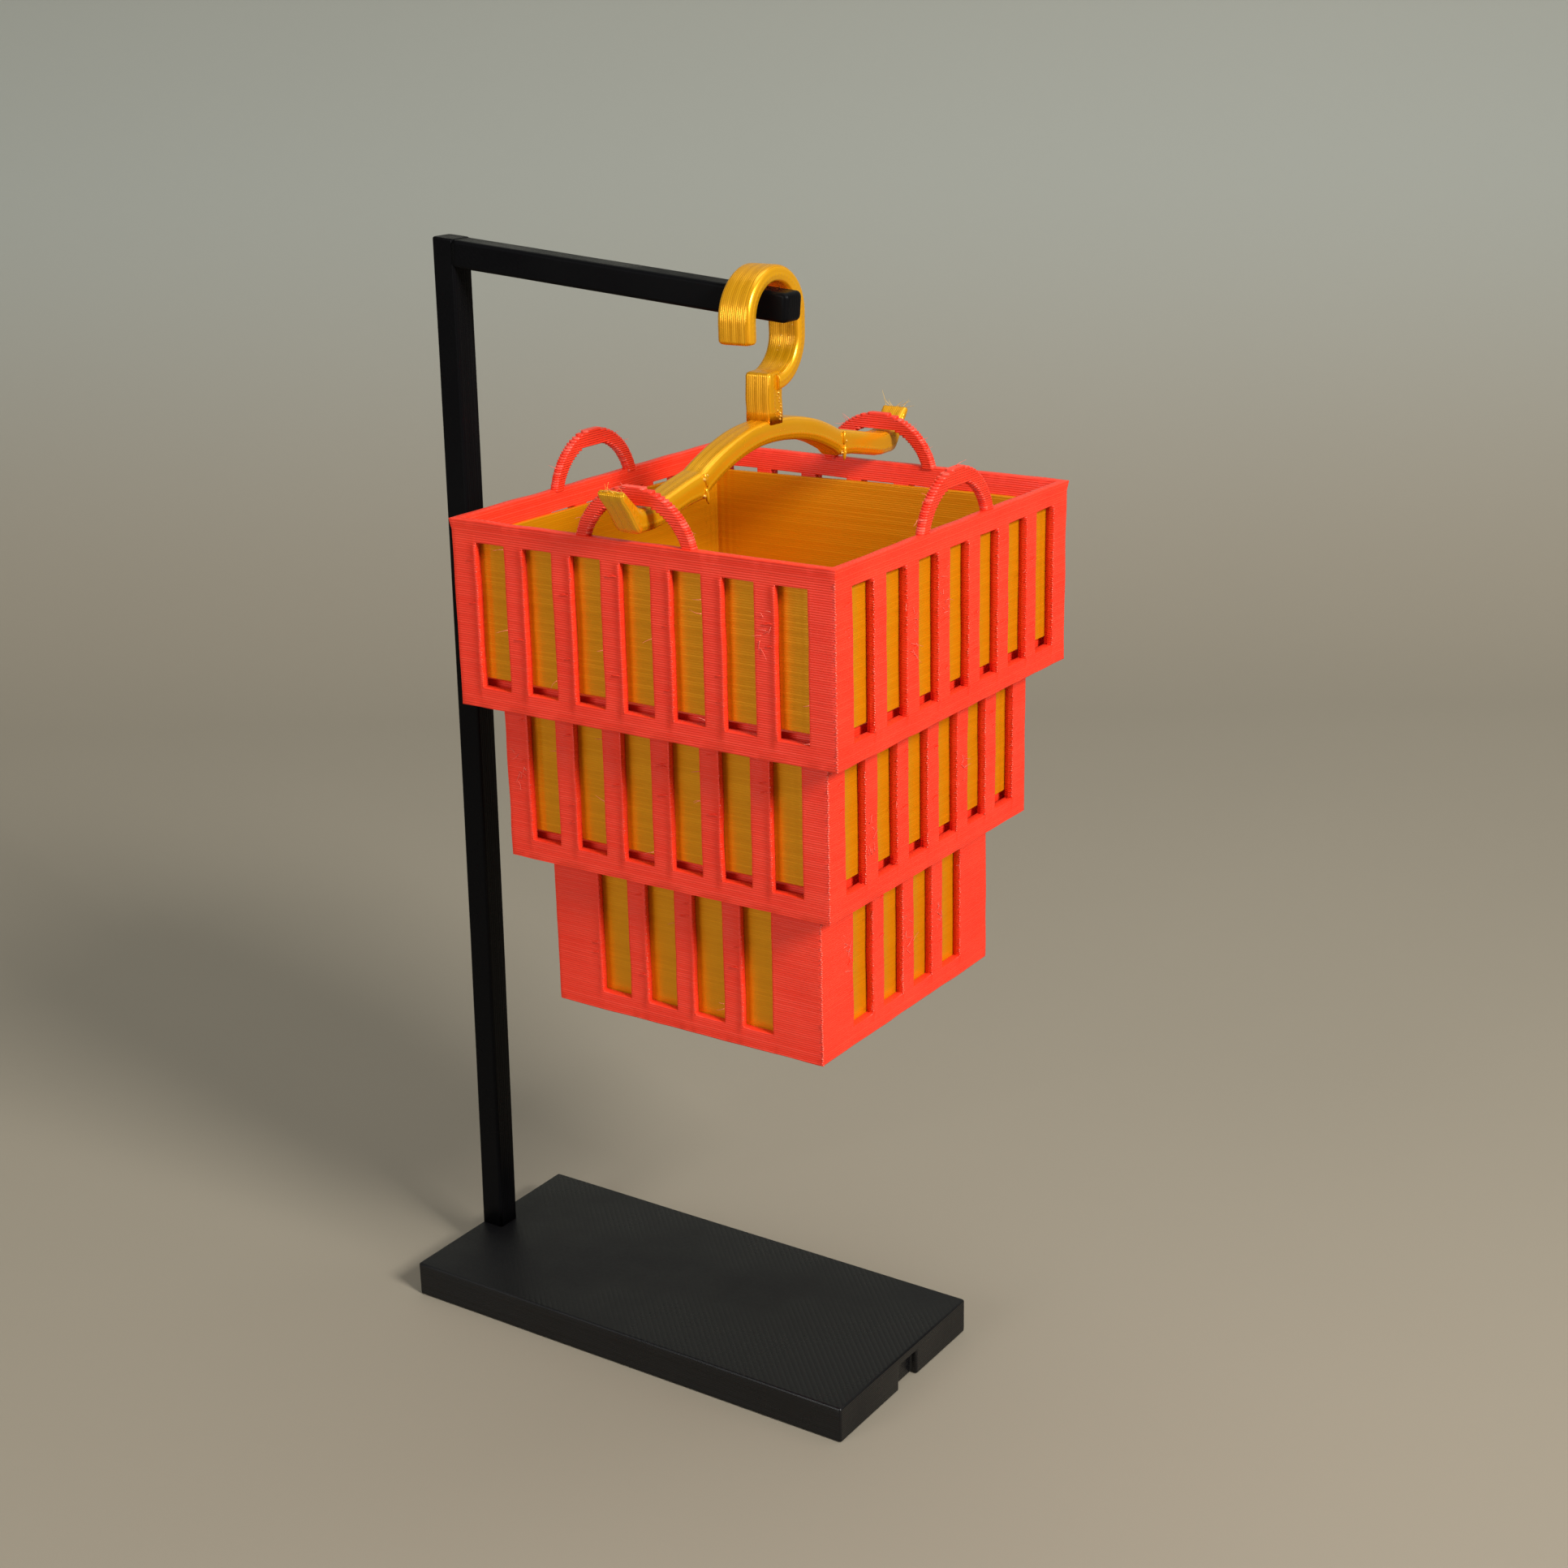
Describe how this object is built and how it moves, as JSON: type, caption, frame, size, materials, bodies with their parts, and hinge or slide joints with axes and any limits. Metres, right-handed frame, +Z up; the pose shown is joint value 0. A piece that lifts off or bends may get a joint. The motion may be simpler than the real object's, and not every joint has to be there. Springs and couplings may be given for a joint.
{
  "type": "tiered hanging lantern",
  "caption": "Small printed lantern of three telescoping slotted square tiers, hung by a coat-hanger bow and hook from an L-shaped stand.",
  "frame": {"origin": "centre of the base plate's underside", "axes": "+X along the arm, away from the post; +Y across the base to the lantern's back; +Z up"},
  "size_m": [0.0555, 0.0436, 0.1035],
  "materials": {
    "black_plastic": "satin, layer lines",
    "red_plastic": "satin, layer lines",
    "gold_plastic": "silk gold, layer lines"
  },
  "bodies": {
    "stand": {"base_plate": "black_plastic", "post": "black_plastic", "arm": "black_plastic"},
    "hanger": {"hanger_hook": "gold_plastic", "hanger_bow": "gold_plastic"},
    "top_tier": {"top_wall_front": "red_plastic", "top_wall_right": "red_plastic", "top_wall_back": "red_plastic", "top_wall_left": "red_plastic", "top_ledge": "red_plastic", "top_liner": "gold_plastic", "handle_front": "red_plastic", "handle_right": "red_plastic", "handle_back": "red_plastic", "handle_left": "red_plastic"},
    "middle_tier": {"middle_wall_front": "red_plastic", "middle_wall_right": "red_plastic", "middle_wall_back": "red_plastic", "middle_wall_left": "red_plastic", "middle_ledge": "red_plastic", "middle_liner": "gold_plastic", "middle_flange": "red_plastic"},
    "bottom_tier": {"bottom_wall_front": "red_plastic", "bottom_wall_right": "red_plastic", "bottom_wall_back": "red_plastic", "bottom_wall_left": "red_plastic", "bottom_floor": "red_plastic", "bottom_liner": "gold_plastic", "bottom_flange": "red_plastic"}
  },
  "joints": [
    {"name": "hanger_swing", "type": "hinge", "parent": "stand", "child": "hanger", "pos_m": [0.0115, 0, 0.09817], "axis": [1, 0, 0], "range_deg": [-25, 25]},
    {"name": "lantern_rock", "type": "hinge", "parent": "hanger", "child": "top_tier", "pos_m": [0.0115, 0, 0.08577], "axis": [0, 1, 0], "range_deg": [-10, 10]},
    {"name": "middle_slide", "type": "slide", "parent": "top_tier", "child": "middle_tier", "axis": [0, 0, 1], "range_m": [0, 0.014]},
    {"name": "bottom_slide", "type": "slide", "parent": "middle_tier", "child": "bottom_tier", "axis": [0, 0, 1], "range_m": [0, 0.014]}
  ]
}
